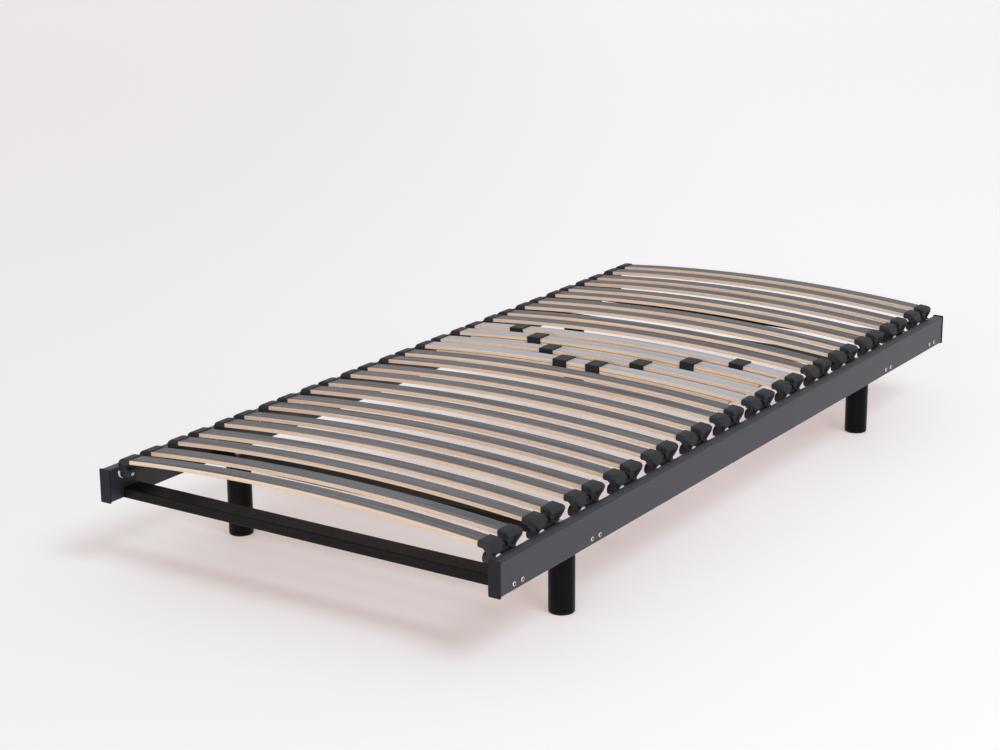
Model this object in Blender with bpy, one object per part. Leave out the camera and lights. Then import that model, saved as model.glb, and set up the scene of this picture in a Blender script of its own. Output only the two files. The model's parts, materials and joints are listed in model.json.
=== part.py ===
"""Slatted metal bed base, 90 x 190 cm: two tube side rails, four cross bars, four legs and
fourteen twin-slat modules that rock on pins, two of them with firmness sliders.

Metres, +Z up, floor at z = 0, +Y along the bed. Run with Blender 4.5.
"""

import math

import bmesh
import bpy
from mathutils import Matrix, Vector

# ---- driving dimensions -------------------------------------------------------------------

TOTAL_LENGTH = 1.900          # over the rail end caps
INNER_FACE_X = 0.430          # rail's inner face from the middle of the bed
LEG_HEIGHT = 0.147            # floor to the underside of the frame
FIT_GAP = 0.0003              # between pieces that touch

RAIL_WIDTH = 0.022
RAIL_HEIGHT = 0.064
RAIL_CORNER = 0.003
TUBE_WALL = 0.0015
END_CAP_FLANGE = 0.003        # thickness of the plate that closes a rail's end
END_CAP_LIP = 0.0015          # how far that plate stands proud of the tube
END_CAP_PLUG = 0.012          # how far the cap reaches into the tube

BAR_DEPTH = 0.046             # along Y
BAR_HEIGHT = 0.020
BAR_CORNER = 0.002
BAR_YS = (-0.889, -0.637, 0.637, 0.887)
LEG_BAR_YS = BAR_YS[1:3]

SCREW_SPREAD = 0.026          # between the two screws at each end of a bar
SCREW_SHIFTS = (-0.005, -0.003, 0.0, 0.0)  # of each bar's screws from its middle, along Y
SCREW_RISE = 0.013            # screws above the frame's underside
SCREW_RADIUS = 0.003
SCREW_HEAD_RADIUS = 0.0045
SCREW_HEAD_HEIGHT = 0.0022
SCREW_SOCKET_RADIUS = 0.0023
SCREW_SOCKET_DEPTH = 0.0014
SCREW_ANCHOR = (0.022, 0.0080)  # block inside the bar's end that each screw bites: X, Y

LEG_X = 0.379
LEG_RADIUS = 0.025
LEG_WALL = 0.0018
LEG_TOP_PLATE = 0.004
GLIDE_HEIGHT = 0.010
GLIDE_WALL = 0.008
STUD_RADIUS = 0.004
NUT_RADIUS = 0.0075
NUT_HEIGHT = 0.0065
STUD_END = 0.0015             # stud end above its nut

MODULE_COUNT = 14
FIRST_PIVOT_Y = -0.9157
MODULE_PITCH = 0.1368
PIN_Z = 0.2008
PIN_RADIUS = 0.004
PIN_HEAD_RADIUS = 0.0045
PIN_HEAD_HEIGHT = 0.001
PIN_REACH = 0.005             # pin's tail past the rail's inner face, inside the tube
HOLE_CLEARANCE = 0.0004
BUSH_RADIUS = 0.0115
BUSH_THICKNESS = 0.004
HUB_RADIUS = 0.0105
HUB_END = 0.030               # hub's inner end from the rail's inner face

SLAT_WIDTH = 0.035
SLAT_THICKNESS = 0.008
SLAT_HALF_LENGTH = 0.417
SLAT_CROWN_Z = 0.250          # top of a slat at mid span
SLAT_ARC_RADIUS = 4.4
SLAT_OFFSETS = (0.004, 0.0648)  # the two slats of a module, from its pin, along Y
PLAIN_SLAT_SEGMENTS = 7       # odd, so that the middle facet lies level
FIRM_SLAT_SEGMENTS = 17        # finer, because the sliders run along it

CAP_INNER_X = 0.395
CAP_OUTER_X = 0.4215
CAP_SIDE_WALL = 0.0030
CAP_TOP_WALL = 0.0022
CAP_FLOOR = 0.0030
CAP_BEVEL = 0.0022            # along the top edges of a cap
POCKET_CLEARANCE = 0.0006     # between a slat and the pocket it sits in
POCKET_END_X = 0.4185
TIE_X = (0.402, 0.412)        # bar that ties the two slats, hidden in the holders
TIE_THICKNESS = 0.003
STEM_OUTER = 0.0085           # stem and gusset, from the rail's inner face
STEM_INNER = 0.0215
TOE_OVERLAP = 0.004           # how far the resting toe reaches over the rail
TOE_Y = 0.0420                # the toe's middle, from the pin along Y
TOE_WIDTH = 0.008

FIRM_MODULES = (7, 8)         # counted from 0: the two modules with doubled slats
LOWER_SLAT_GAP = 0.001
LOWER_SLAT_HALF_LENGTH = 0.365
PAD_LENGTH = 0.014            # pad between a doubled slat's two layers, at each end
SLIDER_XS = ((0.041, 0.114), (0.194, 0.280))  # per firm module: front slat, rear slat
SLIDER_LENGTH = 0.034
SLIDER_WALL = 0.0025
SLIDER_CLEARANCE = 0.0006     # between a slider and the slats it rides on

ROUND_SIDES = 8
SCREW_SIDES = 6
LEG_SIDES = 16
HUB_SIDES = 8

# ---- values worked out from them ----------------------------------------------------------

RAIL_X = INNER_FACE_X + RAIL_WIDTH / 2
RAIL_Z = LEG_HEIGHT + RAIL_HEIGHT / 2
RAIL_TUBE_LENGTH = TOTAL_LENGTH - 2 * END_CAP_FLANGE
RAIL_TOP_Z = LEG_HEIGHT + RAIL_HEIGHT
BAR_Z = LEG_HEIGHT + BAR_HEIGHT / 2
ARC_CENTRE_Z = SLAT_CROWN_Z - SLAT_ARC_RADIUS
CAP_MID_X = (CAP_INNER_X + CAP_OUTER_X) / 2
SLIDER_STACK = 2 * SLAT_THICKNESS + LOWER_SLAT_GAP

COLOURS = {
    "satin_anthracite": ((0.085, 0.090, 0.105), 0.42, 0.30),
    "black_steel": ((0.012, 0.012, 0.013), 0.35, 0.30),
    "black_gloss": ((0.010, 0.010, 0.011), 0.22, 0.10),
    "grey_slat": ((0.135, 0.150, 0.170), 0.55, 0.0),
    "pale_slat": ((0.480, 0.490, 0.580), 0.50, 0.0),
    "charcoal_rubber": ((0.026, 0.027, 0.033), 0.60, 0.0),
}


def slat_top(x):
    """Height of a slat's top face at x."""
    return ARC_CENTRE_Z + math.sqrt(SLAT_ARC_RADIUS ** 2 - x ** 2)


# ---- mesh helpers -------------------------------------------------------------------------

def material(name):
    """A Principled material from the colour table, made once."""
    if name in bpy.data.materials:
        return bpy.data.materials[name]
    colour, roughness, metallic = COLOURS[name]
    made = bpy.data.materials.new(name)
    made.use_nodes = True
    shader = made.node_tree.nodes["Principled BSDF"]
    shader.inputs["Base Color"].default_value = (*colour, 1.0)
    shader.inputs["Roughness"].default_value = roughness
    shader.inputs["Metallic"].default_value = metallic
    return made


def mesh_from(bm, name):
    """Turn a bmesh into a mesh with its faces pointing out."""
    bmesh.ops.recalc_face_normals(bm, faces=bm.faces)
    mesh = bpy.data.meshes.new(name)
    bm.to_mesh(mesh)
    bm.free()
    return mesh


def rounded_rectangle(width, height, radius, steps=1):
    """Outline of a rectangle about the origin with round corners."""
    points = []
    for turn, (sx, sy) in enumerate(((1, 1), (-1, 1), (-1, -1), (1, -1))):
        centre = Vector((sx * (width / 2 - radius), sy * (height / 2 - radius)))
        for step in range(steps + 1):
            angle = math.radians(90 * (turn + step / steps))
            points.append(centre + radius * Vector((math.cos(angle), math.sin(angle))))
    return points


def add_prism(bm, outline, axis, start, end):
    """Extrude a closed outline along an axis; outline is (Y, Z), (X, Z) or (X, Y)."""
    def place(point, along):
        coordinates = list(point)
        coordinates.insert("XYZ".index(axis), along)
        return coordinates
    low = [bm.verts.new(place(point, start)) for point in outline]
    high = [bm.verts.new(place(point, end)) for point in outline]
    bm.faces.new(low)
    bm.faces.new(high)
    for index, corner in enumerate(low):
        following = (index + 1) % len(low)
        bm.faces.new((corner, low[following], high[following], high[index]))


def add_box(bm, low, high):
    """Add a box between two corners."""
    x0, y0, z0 = low
    x1, y1, z1 = high
    add_prism(bm, ((x0, y0), (x1, y0), (x1, y1), (x0, y1)), "Z", z0, z1)


def add_rod(bm, centre, axis, start, end, radius, sides=ROUND_SIDES):
    """Add a round rod along an axis; centre gives the other two coordinates."""
    outline = [
        (centre[0] + radius * math.cos(2 * math.pi * (side + 0.5) / sides),
         centre[1] + radius * math.sin(2 * math.pi * (side + 0.5) / sides))
        for side in range(sides)
    ]
    add_prism(bm, outline, axis, start, end)


def turned(profile, sides):
    """Turn a profile of (radius, height) points, both ends on the axis, about Z."""
    bm = bmesh.new()
    rings = []
    for radius, height in profile:
        if radius == 0:
            rings.append([bm.verts.new((0, 0, height))] * sides)
            continue
        rings.append([
            bm.verts.new((radius * math.cos(2 * math.pi * side / sides),
                          radius * math.sin(2 * math.pi * side / sides), height))
            for side in range(sides)
        ])
    for lower, upper in zip(rings, rings[1:]):
        for side in range(sides):
            following = (side + 1) % sides
            corners = (lower[side], lower[following], upper[following], upper[side])
            bm.faces.new(dict.fromkeys(corners))
    return bm


def combine(name, base, *steps):
    """Join or cut a base mesh with other meshes, exactly, and return the finished mesh."""
    body = bpy.data.objects.new(name, mesh_from(base, name))
    bpy.context.scene.collection.objects.link(body)
    tools = []
    for number, (operation, bm) in enumerate(steps):
        tool = bpy.data.objects.new(f"{name}_tool_{number}", mesh_from(bm, f"{name}_tool"))
        bpy.context.scene.collection.objects.link(tool)
        tool.hide_render = True
        tool.display_type = "WIRE"
        tools.append(tool)
        step = body.modifiers.new(f"step_{number}", "BOOLEAN")
        step.operation = operation
        step.solver = "EXACT"
        step.object = tool
    evaluated = body.evaluated_get(bpy.context.evaluated_depsgraph_get())
    mesh = bpy.data.meshes.new_from_object(evaluated)
    mesh.name = name
    for leftover in (body, *tools):
        bpy.data.objects.remove(leftover)
    return mesh


def mirrored(mesh):
    """A copy of a mesh reflected in X, with its faces turned to point out again."""
    bm = bmesh.new()
    bm.from_mesh(mesh)
    bm.transform(Matrix.Scale(-1, 4, (1, 0, 0)))
    bmesh.ops.reverse_faces(bm, faces=bm.faces)
    reflected = bpy.data.meshes.new(mesh.name + "_mirrored")
    bm.to_mesh(reflected)
    bm.free()
    return reflected


def place(name, mesh, finish, location=(0, 0, 0), parent=None):
    """Put a mesh into the scene as one named piece."""
    if not mesh.materials:
        mesh.materials.append(material(finish))
    mesh.shade_smooth()
    mesh.set_sharp_from_angle(angle=math.radians(35))
    piece = bpy.data.objects.new(name, mesh)
    piece.location = location
    piece.parent = parent
    bpy.context.scene.collection.objects.link(piece)
    return piece


def pivot(name, location, parent=None):
    """An empty on a joint's axis."""
    empty = bpy.data.objects.new(name, None)
    empty.empty_display_size = 0.02
    empty.location = location
    empty.parent = parent
    bpy.context.scene.collection.objects.link(empty)
    return empty


def pivot_ys():
    """Where the modules' pins sit along the bed."""
    return [FIRST_PIVOT_Y + MODULE_PITCH * number for number in range(MODULE_COUNT)]


# ---- the frame ----------------------------------------------------------------------------

def rail_mesh():
    """Right-hand side rail: tube with its end caps, pin holes and screw holes."""
    half = RAIL_TUBE_LENGTH / 2
    tube = bmesh.new()
    add_prism(tube, [(p.x, p.y) for p in rounded_rectangle(RAIL_WIDTH, RAIL_HEIGHT, RAIL_CORNER, 2)],
              "Y", -half, half)
    flanges = bmesh.new()
    flange = rounded_rectangle(RAIL_WIDTH + 2 * END_CAP_LIP, RAIL_HEIGHT + 2 * END_CAP_LIP,
                               RAIL_CORNER)
    for side in (-1, 1):
        inner, outer = sorted((side * (half - END_CAP_LIP), side * TOTAL_LENGTH / 2))
        add_prism(flanges, [(p.x, p.y) for p in flange], "Y", inner, outer)
    cavity = bmesh.new()
    inside = Vector((RAIL_WIDTH / 2 - TUBE_WALL, half - END_CAP_PLUG, RAIL_HEIGHT / 2 - TUBE_WALL))
    add_box(cavity, -inside, inside)
    holes = bmesh.new()
    for y in pivot_ys():
        add_rod(holes, (y, PIN_Z - RAIL_Z), "X", -RAIL_WIDTH, 0, PIN_RADIUS + HOLE_CLEARANCE)
    for bar_y, shift in zip(BAR_YS, SCREW_SHIFTS):
        for side in (-1, 1):
            hole_y = bar_y + shift + side * SCREW_SPREAD / 2
            add_rod(holes, (hole_y, LEG_HEIGHT + SCREW_RISE - RAIL_Z), "X",
                    -RAIL_WIDTH, RAIL_WIDTH, SCREW_RADIUS + HOLE_CLEARANCE, SCREW_SIDES)
    return combine("side_rail", tube, ("UNION", flanges), ("DIFFERENCE", cavity),
                   ("DIFFERENCE", holes))


def cross_bar_mesh(with_leg_holes, shift):
    """Cross bar: open tube with the blocks and screws that hold it between the rails."""
    end = INNER_FACE_X - FIT_GAP
    bar = bmesh.new()
    outline = rounded_rectangle(BAR_DEPTH, BAR_HEIGHT, BAR_CORNER)
    add_prism(bar, [(p.x, p.y) for p in outline], "X", -end, end)
    bore = bmesh.new()
    half_y = BAR_DEPTH / 2 - TUBE_WALL
    half_z = BAR_HEIGHT / 2 - TUBE_WALL
    add_box(bore, (-end - 0.01, -half_y, -half_z), (end + 0.01, half_y, half_z))
    blocks = bmesh.new()
    screws = bmesh.new()
    sockets = bmesh.new()
    length, depth = SCREW_ANCHOR
    head_start = INNER_FACE_X + RAIL_WIDTH + FIT_GAP
    head_end = head_start + SCREW_HEAD_HEIGHT
    rise = LEG_HEIGHT + SCREW_RISE - BAR_Z
    for end_side in (-1, 1):
        for side in (-1, 1):
            y = shift + side * SCREW_SPREAD / 2
            low_x, high_x = sorted((end_side * (end - length), end_side * end))
            add_box(blocks, (low_x, y - depth / 2, -half_z - TUBE_WALL / 2),
                    (high_x, y + depth / 2, half_z + TUBE_WALL / 2))
            add_rod(screws, (y, rise), "X",
                    *sorted((end_side * (end - length / 2), end_side * (head_end - 0.001))),
                    SCREW_RADIUS, SCREW_SIDES)
            add_rod(sockets, (y, rise), "X",
                    *sorted((end_side * (head_end - SCREW_SOCKET_DEPTH), end_side * (head_end + 0.01))),
                    SCREW_SOCKET_RADIUS, sides=6)
    heads = bmesh.new()
    for end_side in (-1, 1):
        for side in (-1, 1):
            add_rod(heads, (shift + side * SCREW_SPREAD / 2, rise), "X",
                    *sorted((end_side * head_start, end_side * head_end)), SCREW_HEAD_RADIUS, SCREW_SIDES)
    steps = [("DIFFERENCE", bore), ("UNION", blocks), ("UNION", screws), ("UNION", heads),
             ("DIFFERENCE", sockets)]
    if with_leg_holes:
        holes = bmesh.new()
        for side in (-1, 1):
            add_rod(holes, (side * LEG_X, 0), "Z", -BAR_HEIGHT, BAR_HEIGHT,
                    STUD_RADIUS + 2 * HOLE_CLEARANCE)
        steps.append(("DIFFERENCE", holes))
    return combine("cross_bar", bar, *steps)


def leg_mesh():
    """Leg: round tube closed on top, foot glide below, stud and nut above the cross bar."""
    top = LEG_HEIGHT - FIT_GAP
    nut_base = LEG_HEIGHT + BAR_HEIGHT + FIT_GAP
    nut_top = nut_base + NUT_HEIGHT
    inner = LEG_RADIUS - LEG_WALL
    edge = 0.0015
    profile = [
        (0, nut_top + STUD_END),
        (STUD_RADIUS, nut_top + STUD_END),
        (STUD_RADIUS, nut_top),
        (NUT_RADIUS, nut_top),
        (NUT_RADIUS, nut_base),
        (STUD_RADIUS, nut_base),
        (STUD_RADIUS, top),
        (LEG_RADIUS - edge, top),
        (LEG_RADIUS, top - edge),
        (LEG_RADIUS, edge),
        (LEG_RADIUS - edge, 0),
        (LEG_RADIUS - GLIDE_WALL, 0),
        (LEG_RADIUS - GLIDE_WALL, GLIDE_HEIGHT),
        (inner, GLIDE_HEIGHT),
        (inner, top - LEG_TOP_PLATE),
        (0, top - LEG_TOP_PLATE),
    ]
    return mesh_from(turned(profile, LEG_SIDES), "leg")


# ---- the slat modules ---------------------------------------------------------------------

def cap_outline(centre, clearance=0.0):
    """Cross-section of one slat cap, or of its pocket, in (Y, Z) at the cap's middle."""
    z_high = slat_top(CAP_MID_X) - PIN_Z
    z_low = z_high - SLAT_THICKNESS
    half = SLAT_WIDTH / 2
    if clearance:
        return [(centre - half - clearance, z_low - clearance),
                (centre + half + clearance, z_low - clearance),
                (centre + half + clearance, z_high + clearance),
                (centre - half - clearance, z_high + clearance)]
    half += CAP_SIDE_WALL
    z_low -= CAP_FLOOR
    z_high += CAP_TOP_WALL
    return [(centre - half, z_low), (centre + half, z_low),
            (centre + half, z_high - CAP_BEVEL), (centre + half - CAP_BEVEL, z_high),
            (centre - half + CAP_BEVEL, z_high), (centre - half, z_high - CAP_BEVEL)]


def sloped(bm):
    """Lean a part of the holder to the slat's slope at its end, about the cap's middle."""
    slope = CAP_MID_X / SLAT_ARC_RADIUS
    middle = CAP_MID_X - INNER_FACE_X
    for vert in bm.verts:
        vert.co.z -= slope * (vert.co.x - middle)
    return bm


def holder_mesh():
    """Right-hand twin holder, with its origin where the pin meets the rail's inner face.

    Both caps, their bridge, the stem and hub on the pin, the gusset and the resting toe are
    one moulding; the bush, the pin and the pin's head are part of this solid too.
    """
    front, rear = SLAT_OFFSETS
    inner = CAP_INNER_X - INNER_FACE_X
    outer = CAP_OUTER_X - INNER_FACE_X
    z_floor = slat_top(CAP_MID_X) - SLAT_THICKNESS - CAP_FLOOR - PIN_Z
    z_bridge = slat_top(CAP_MID_X) - 0.0004 - PIN_Z
    toe_z = RAIL_TOP_Z + FIT_GAP - PIN_Z
    half_cap = SLAT_WIDTH / 2 + CAP_SIDE_WALL

    front_cap = bmesh.new()
    add_prism(front_cap, cap_outline(front), "X", inner, outer)
    rear_cap = bmesh.new()
    add_prism(rear_cap, cap_outline(rear), "X", inner, outer)
    bridge = bmesh.new()
    add_prism(bridge, ((front + half_cap - 0.006, z_floor + 0.001),
                       (rear - half_cap + 0.006, z_floor + 0.001),
                       (rear - half_cap + 0.006, z_bridge),
                       (front + half_cap - 0.006, z_bridge)), "X", inner + 0.002, outer - 0.001)
    stem = bmesh.new()
    stem_outline = ((-0.0085, 0), (0.0085, 0), (0.0410, 0.0035), (0.0410, 0.0105),
                    (0.0348, 0.0114), (0.0290, z_floor - 0.001), (0.0290, z_floor + 0.004),
                    (-0.0140, z_floor + 0.003), (-0.0100, 0.014))
    add_prism(stem, stem_outline, "X", -STEM_INNER, -STEM_OUTER)
    gusset = bmesh.new()
    gusset_outline = ((0.0400, 0.0035), (0.0620, 0.0035), (0.0667, 0.0105), (0.0710, 0.0162),
                      (rear + 0.0190, z_floor + 0.003), (rear - 0.0190, z_floor + 0.003),
                      (0.0425, 0.0114))
    add_prism(gusset, gusset_outline, "X", -STEM_INNER, -STEM_OUTER)
    toe = bmesh.new()
    add_box(toe, (-STEM_OUTER - 0.003, TOE_Y - TOE_WIDTH / 2, toe_z),
            (TOE_OVERLAP, TOE_Y + TOE_WIDTH / 2, toe_z + 0.004))
    # hub, bush, pin and the pin's head, turned about the pin's axis
    spindle = turned([
        (0, -HUB_END - PIN_HEAD_HEIGHT),
        (PIN_HEAD_RADIUS, -HUB_END - PIN_HEAD_HEIGHT),
        (PIN_HEAD_RADIUS, -HUB_END),
        (HUB_RADIUS, -HUB_END),
        (HUB_RADIUS, -BUSH_THICKNESS),
        (BUSH_RADIUS, -BUSH_THICKNESS),
        (BUSH_RADIUS, -FIT_GAP),
        (PIN_RADIUS, -FIT_GAP),
        (PIN_RADIUS, PIN_REACH),
        (0, PIN_REACH),
    ], HUB_SIDES)
    spindle.transform(Matrix.Rotation(math.radians(90), 4, "Y"))

    pockets = bmesh.new()
    for centre in SLAT_OFFSETS:
        add_prism(pockets, cap_outline(centre, POCKET_CLEARANCE), "X", inner - 0.01,
                  POCKET_END_X - INNER_FACE_X)
    channel = bmesh.new()
    tie_low, tie_high = TIE_X
    tie_middle = slat_top(CAP_MID_X) - SLAT_THICKNESS / 2 - PIN_Z
    reach = TIE_THICKNESS / 2 + 2 * POCKET_CLEARANCE
    add_box(channel, (tie_low - INNER_FACE_X - POCKET_CLEARANCE, front, tie_middle - reach),
            (tie_high - INNER_FACE_X + POCKET_CLEARANCE, rear, tie_middle + reach))
    return combine("twin_holder", sloped(front_cap), ("UNION", sloped(rear_cap)),
                   ("UNION", sloped(bridge)), ("UNION", stem), ("UNION", gusset), ("UNION", toe),
                   ("UNION", spindle),
                   ("DIFFERENCE", sloped(pockets)), ("DIFFERENCE", channel))


def add_slat(bm, centre_y, half_length, segments, drop=0.0):
    """Add one bowed slat; drop lowers its whole arc."""
    radius = SLAT_ARC_RADIUS - drop
    xs = [half_length * (2 * step / segments - 1) for step in range(segments + 1)]

    def arc(x, depth):
        return ARC_CENTRE_Z + math.sqrt((radius - depth) ** 2 - x ** 2) - PIN_Z
    outline = [(x, arc(x, 0)) for x in xs] + [(x, arc(x, SLAT_THICKNESS)) for x in reversed(xs)]
    add_prism(bm, outline, "Y", centre_y - SLAT_WIDTH / 2, centre_y + SLAT_WIDTH / 2)


def slat_pair_mesh(doubled):
    """The two slats of a module with the ties hidden in its holders; origin on the pin axis."""
    slats = bmesh.new()
    segments = FIRM_SLAT_SEGMENTS if doubled else PLAIN_SLAT_SEGMENTS
    for centre in SLAT_OFFSETS:
        add_slat(slats, centre, SLAT_HALF_LENGTH, segments)
    ties = bmesh.new()
    front, rear = SLAT_OFFSETS
    tie_middle = slat_top(sum(TIE_X) / 2) - SLAT_THICKNESS / 2 - PIN_Z
    for side in (-1, 1):
        low_x, high_x = sorted(side * x for x in TIE_X)
        add_box(ties, (low_x, front + SLAT_WIDTH / 4, tie_middle - TIE_THICKNESS / 2),
                (high_x, rear - SLAT_WIDTH / 4, tie_middle + TIE_THICKNESS / 2))
    steps = [("UNION", ties)]
    if doubled:
        lower = bmesh.new()
        for centre in SLAT_OFFSETS:
            add_slat(lower, centre, LOWER_SLAT_HALF_LENGTH, segments, SLAT_THICKNESS + LOWER_SLAT_GAP)
        steps.append(("UNION", lower))
        pads = bmesh.new()
        pad_x = LOWER_SLAT_HALF_LENGTH - PAD_LENGTH / 2
        pad_z = slat_top(pad_x) - SLAT_THICKNESS - LOWER_SLAT_GAP / 2 - PIN_Z
        for side in (-1, 1):
            for centre in SLAT_OFFSETS:
                middle = Vector((side * pad_x, centre, pad_z))
                size = Vector((PAD_LENGTH / 2 - 0.001, SLAT_WIDTH / 2 - 0.004, 0.002))
                add_box(pads, middle - size, middle + size)
        steps.append(("UNION", pads))
    return combine("slat_pair", slats, *steps)


def slider_mesh():
    """Firmness slider: a clip round both layers of a doubled slat, origin on the arc's centre."""
    slot_width = SLAT_WIDTH + 2 * SLIDER_CLEARANCE
    slot_height = SLIDER_STACK + 2 * SLIDER_CLEARANCE
    middle = SLAT_ARC_RADIUS - SLIDER_STACK / 2
    half = SLIDER_LENGTH / 2
    body = bmesh.new()
    outline = rounded_rectangle(slot_width + 2 * SLIDER_WALL, slot_height + 2 * SLIDER_WALL, 0.0015)
    add_prism(body, [(p.x, middle + p.y) for p in outline], "X", -half, half)
    slot = bmesh.new()
    add_box(slot, (-half - 0.01, -slot_width / 2, middle - slot_height / 2),
            (half + 0.01, slot_width / 2, middle + slot_height / 2))
    return combine("slider", body, ("DIFFERENCE", slot))


# ---- assembly -----------------------------------------------------------------------------

def build_frame():
    """Rails, cross bars and legs."""
    right = rail_mesh()
    place("side_rail_right", right, "satin_anthracite", (RAIL_X, 0, RAIL_Z))
    place("side_rail_left", mirrored(right), "satin_anthracite", (-RAIL_X, 0, RAIL_Z))
    for number, (y, shift) in enumerate(zip(BAR_YS, SCREW_SHIFTS), start=1):
        bar = cross_bar_mesh(y in LEG_BAR_YS, shift)
        place(f"cross_bar_{number}", bar, "black_steel", (0, y, BAR_Z))
    leg = leg_mesh()
    for end, y in zip(("near", "far"), LEG_BAR_YS):
        for side, x in (("left", -LEG_X), ("right", LEG_X)):
            place(f"leg_{end}_{side}", leg, "black_gloss", (x, y, 0))


def build_modules():
    """Fourteen rocking modules, and the sliders on the two firm ones."""
    right_holder = holder_mesh()
    left_holder = mirrored(right_holder)
    single = slat_pair_mesh(doubled=False)
    doubled = slat_pair_mesh(doubled=True)
    slider = slider_mesh()
    for number, y in enumerate(pivot_ys()):
        label = f"{number + 1:02d}"
        rocker = pivot(f"rocker_{label}_axis", (0, y, PIN_Z))
        place(f"holder_left_{label}", left_holder, "charcoal_rubber", (-INNER_FACE_X, 0, 0), rocker)
        place(f"holder_right_{label}", right_holder, "charcoal_rubber", (INNER_FACE_X, 0, 0), rocker)
        if number not in FIRM_MODULES:
            place(f"slat_pair_{label}", single, "grey_slat", parent=rocker)
            continue
        place(f"slat_pair_{label}", doubled, "pale_slat", parent=rocker)
        for row, offset, x in zip(("front", "rear"), SLAT_OFFSETS, SLIDER_XS[FIRM_MODULES.index(number)]):
            for side, sign in (("left", -1), ("right", 1)):
                axis = pivot(f"slider_{label}_{row}_{side}_axis",
                             (0, offset, ARC_CENTRE_Z - PIN_Z), rocker)
                axis.rotation_euler.y = math.asin(sign * x / SLAT_ARC_RADIUS)
                place(f"slider_{label}_{row}_{side}", slider, "charcoal_rubber", parent=axis)


def main():
    """Clear the scene and build the bed base."""
    for leftover in list(bpy.data.objects):
        bpy.data.objects.remove(leftover)
    build_frame()
    build_modules()


main()
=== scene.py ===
"""Studio scene of a slatted metal bed base: tube frame, rocking twin slats, firmness sliders.

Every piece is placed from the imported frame, in metres, +Z up, the floor at z = 0 and +Y
along the bed towards its far end.
"""

import json
import logging
import math
from abc import ABC, abstractmethod
from dataclasses import dataclass
from enum import Enum
from typing import Any, Iterable, Optional, Sequence, Union

import bmesh
import bpy
from mathutils import Matrix, Vector


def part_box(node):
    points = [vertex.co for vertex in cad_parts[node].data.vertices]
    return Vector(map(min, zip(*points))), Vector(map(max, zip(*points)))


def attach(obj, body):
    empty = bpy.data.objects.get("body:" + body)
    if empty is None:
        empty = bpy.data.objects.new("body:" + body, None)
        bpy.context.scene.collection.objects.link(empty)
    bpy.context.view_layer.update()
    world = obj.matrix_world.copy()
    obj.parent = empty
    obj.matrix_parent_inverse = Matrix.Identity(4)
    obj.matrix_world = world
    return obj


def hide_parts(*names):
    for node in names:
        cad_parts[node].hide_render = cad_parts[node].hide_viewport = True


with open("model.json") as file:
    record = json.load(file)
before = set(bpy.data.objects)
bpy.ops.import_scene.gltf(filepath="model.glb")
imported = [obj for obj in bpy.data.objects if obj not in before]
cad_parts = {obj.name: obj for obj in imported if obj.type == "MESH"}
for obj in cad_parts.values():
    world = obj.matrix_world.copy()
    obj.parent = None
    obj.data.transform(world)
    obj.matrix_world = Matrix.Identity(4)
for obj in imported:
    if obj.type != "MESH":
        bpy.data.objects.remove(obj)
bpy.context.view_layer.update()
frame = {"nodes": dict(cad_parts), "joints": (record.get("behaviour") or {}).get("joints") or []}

LOG = logging.getLogger("bed_base")
Colour = tuple[float, float, float]
GRAIN = "grain"  # point attribute: along, across and depth in a board, in metres
SHARP_ANGLE = 32.0  # degrees; edges that turn more than this stay sharp


class Side(Enum):
    """Which half of the bed a piece is on; the value is its sign along X."""

    LEFT = -1
    RIGHT = 1


class Axis(Enum):
    """Main directions."""

    X = 0
    Y = 1
    Z = 2


# ---- shader building ----------------------------------------------------------------------


class Wire:
    """An output socket that takes part in arithmetic."""

    def __init__(self, bench: "Bench", socket: bpy.types.NodeSocket) -> None:
        """Wrap a socket.

        Args:
            bench: node tree the socket belongs to.
            socket: the output socket.
        """
        self.bench = bench
        self.socket = socket

    def __add__(self, other: "Value") -> "Wire":
        """Sum."""
        return self.bench.maths("ADD", self, other)

    __radd__ = __add__

    def __sub__(self, other: "Value") -> "Wire":
        """Difference."""
        return self.bench.maths("SUBTRACT", self, other)

    def __rsub__(self, other: "Value") -> "Wire":
        """Difference, the wire last."""
        return self.bench.maths("SUBTRACT", other, self)

    def __mul__(self, other: "Value") -> "Wire":
        """Product."""
        return self.bench.maths("MULTIPLY", self, other)

    __rmul__ = __mul__

    def __truediv__(self, other: "Value") -> "Wire":
        """Quotient."""
        return self.bench.maths("DIVIDE", self, other)


Value = Union[Wire, float, int]


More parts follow.
